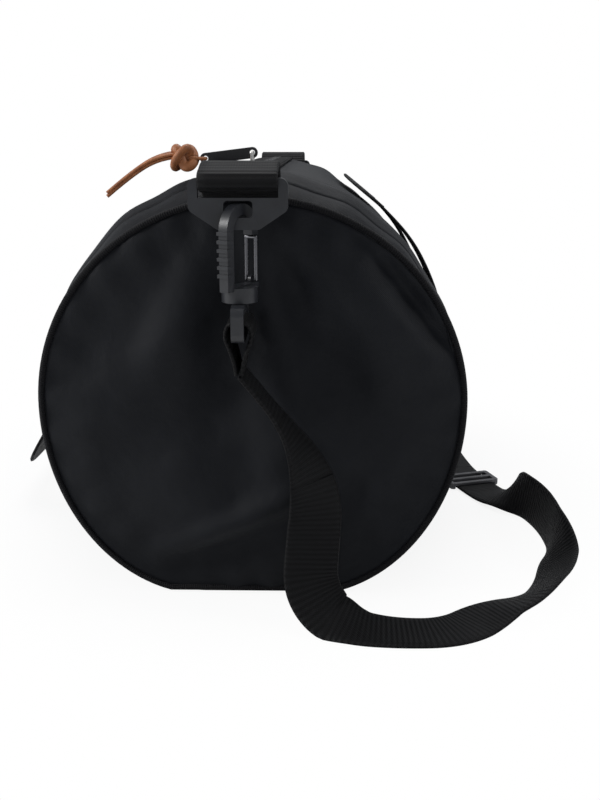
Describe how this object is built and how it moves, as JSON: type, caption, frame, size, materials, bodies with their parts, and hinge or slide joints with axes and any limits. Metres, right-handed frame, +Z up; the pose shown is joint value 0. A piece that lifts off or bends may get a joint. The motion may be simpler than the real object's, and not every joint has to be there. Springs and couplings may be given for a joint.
{
  "type": "duffel bag",
  "caption": "Soft black barrel duffel bag with a zipped mouth, two webbing handles, and a shoulder strap on swivel snap hooks at both ends.",
  "frame": {"origin": "middle of the flat base, on the surface that the bag lies on", "axes": "+Z up, +Y along the barrel from the near end panel to the far one, +X to the right seen from the near end"},
  "size_m": [0.4767, 0.626, 0.3145],
  "materials": {
    "shell_fabric": "tightly woven coated nylon, near black, slightly blue grey, soft sheen",
    "piping": "woven tape piping over a cord, black",
    "webbing": "ribbed black nylon webbing",
    "zip_tape": "herringbone zip tape, black",
    "zip_coil": "black nylon coil",
    "slider_metal": "bright nickel-plated slider",
    "pull_metal": "black lacquered pull bar",
    "leather": "tan leather, knotted thong, worn edges",
    "hook_plastic": "moulded black acetal, fine grain",
    "gate_steel": "bright spring wire",
    "adjuster_plastic": "moulded dark grey plastic"
  },
  "bodies": {
    "bag": {"base_panel": "shell_fabric", "side_panel_left": "shell_fabric", "side_panel_right": "shell_fabric", "roof_gusset_near": "shell_fabric", "roof_gusset_far": "shell_fabric", "end_panel_near": "shell_fabric", "end_panel_far": "shell_fabric", "piping_near": "piping", "piping_far": "piping", "ring_tab_near": "webbing", "ring_tab_far": "webbing", "strap_fall_near": "webbing", "strap_floor": "webbing", "strap_rise_far": "webbing", "zip_end_left_near": "zip_tape", "zip_end_left_far": "zip_tape", "zip_end_right_near": "zip_tape", "zip_end_right_far": "zip_tape"},
    "mouth_left": {"lip_left": "shell_fabric", "zip_tape_left": "zip_tape", "zip_coil_left": "zip_coil", "handle_patch_left_near": "webbing", "handle_patch_left_far": "webbing"},
    "mouth_right": {"lip_right": "shell_fabric", "zip_tape_right": "zip_tape", "zip_coil_right": "zip_coil", "handle_patch_right_near": "webbing", "handle_patch_right_far": "webbing"},
    "grip_left": {"handle_left": "webbing"},
    "grip_right": {"handle_right": "webbing"},
    "zip_slider": {"slider_body": "slider_metal", "slider_bridge": "slider_metal"},
    "pull": {"pull_tab": "pull_metal"},
    "leather": {"leather_pull": "leather"},
    "adjuster": {"strap_adjuster": "adjuster_plastic"},
    "ring_near": {"ring_near": "hook_plastic"},
    "hook_near": {"hook_body_near": "hook_plastic", "strap_neck_near": "webbing"},
    "gate_near": {"hook_gate_near": "gate_steel"},
    "swivel_near": {"swivel_near": "hook_plastic", "strap_loop_near": "webbing"},
    "ring_far": {"ring_far": "hook_plastic"},
    "hook_far": {"hook_body_far": "hook_plastic", "strap_neck_far": "webbing"},
    "gate_far": {"hook_gate_far": "gate_steel"},
    "swivel_far": {"swivel_far": "hook_plastic", "strap_loop_far": "webbing"}
  },
  "joints": [
    {"name": "zip_slide", "type": "slide", "parent": "bag", "child": "zip_slider", "axis": [0, 1, 0], "range_m": [0, 0.446]},
    {"name": "mouth_left_fold", "type": "hinge", "parent": "bag", "child": "mouth_left", "pos_m": [-0.144, 0, 0.12], "axis": [0, -1, 0], "range_deg": [0, 20]},
    {"name": "mouth_right_fold", "type": "hinge", "parent": "bag", "child": "mouth_right", "pos_m": [0.144, 0, 0.12], "axis": [0, 1, 0], "range_deg": [0, 20]},
    {"name": "handle_left_swing", "type": "hinge", "parent": "mouth_left", "child": "grip_left", "pos_m": [-0.1487, 0, 0.1626], "axis": [0, 1, 0], "range_deg": [0, 143]},
    {"name": "handle_right_swing", "type": "hinge", "parent": "mouth_right", "child": "grip_right", "pos_m": [0.1487, 0, 0.1626], "axis": [0, 1, 0], "range_deg": [0, 100]},
    {"name": "pull_swing", "type": "hinge", "parent": "zip_slider", "child": "pull", "pos_m": [0, -0.223, 0.3073], "axis": [0, 1, 0], "range_deg": [0, 150]},
    {"name": "leather_swing", "type": "hinge", "parent": "pull", "child": "leather", "pos_m": [-0.03176, -0.223, 0.3034], "axis": [0, 1, 0], "range_deg": [0, 60]},
    {"name": "adjuster_slide", "type": "slide", "parent": "bag", "child": "adjuster", "axis": [-0.3032, 0.9529, 0], "range_m": [-0.008, 0.008], "deforming": ["strap_floor"]},
    {"name": "ring_near_swing", "type": "hinge", "parent": "bag", "child": "ring_near", "pos_m": [-0.005, -0.288, 0.2905], "axis": [-1, 0, 0], "range_deg": [0, 50], "deforming": ["strap_fall_near", "strap_neck_near"]},
    {"name": "hook_near_swing", "type": "hinge", "parent": "ring_near", "child": "hook_near", "pos_m": [-0.005, -0.288, 0.2655], "axis": [-1, 0, 0], "range_deg": [0, 25]},
    {"name": "gate_near_press", "type": "hinge", "parent": "hook_near", "child": "gate_near", "pos_m": [0.00175, -0.27631, 0.2291], "axis": [0.866, -0.5, 0], "range_deg": [0, 22], "stiffness_Nm_per_rad": 0.02, "springref_deg": -5.73},
    {"name": "swivel_near_turn", "type": "hinge", "parent": "hook_near", "child": "swivel_near", "pos_m": [-0.005, -0.288, 0.2166], "axis": [0, 0, 1], "range_deg": [-60, 60]},
    {"name": "ring_far_swing", "type": "hinge", "parent": "bag", "child": "ring_far", "pos_m": [0.005, 0.288, 0.2905], "axis": [1, 0, 0], "range_deg": [0, 50], "deforming": ["strap_rise_far", "strap_neck_far"]},
    {"name": "hook_far_swing", "type": "hinge", "parent": "ring_far", "child": "hook_far", "pos_m": [0.005, 0.288, 0.2655], "axis": [1, 0, 0], "range_deg": [0, 25]},
    {"name": "gate_far_press", "type": "hinge", "parent": "hook_far", "child": "gate_far", "pos_m": [-0.00175, 0.27631, 0.2291], "axis": [-0.866, 0.5, 0], "range_deg": [0, 22], "stiffness_Nm_per_rad": 0.02, "springref_deg": -5.73},
    {"name": "swivel_far_turn", "type": "hinge", "parent": "hook_far", "child": "swivel_far", "pos_m": [0.005, 0.288, 0.2166], "axis": [0, 0, 1], "range_deg": [-60, 60]}
  ]
}
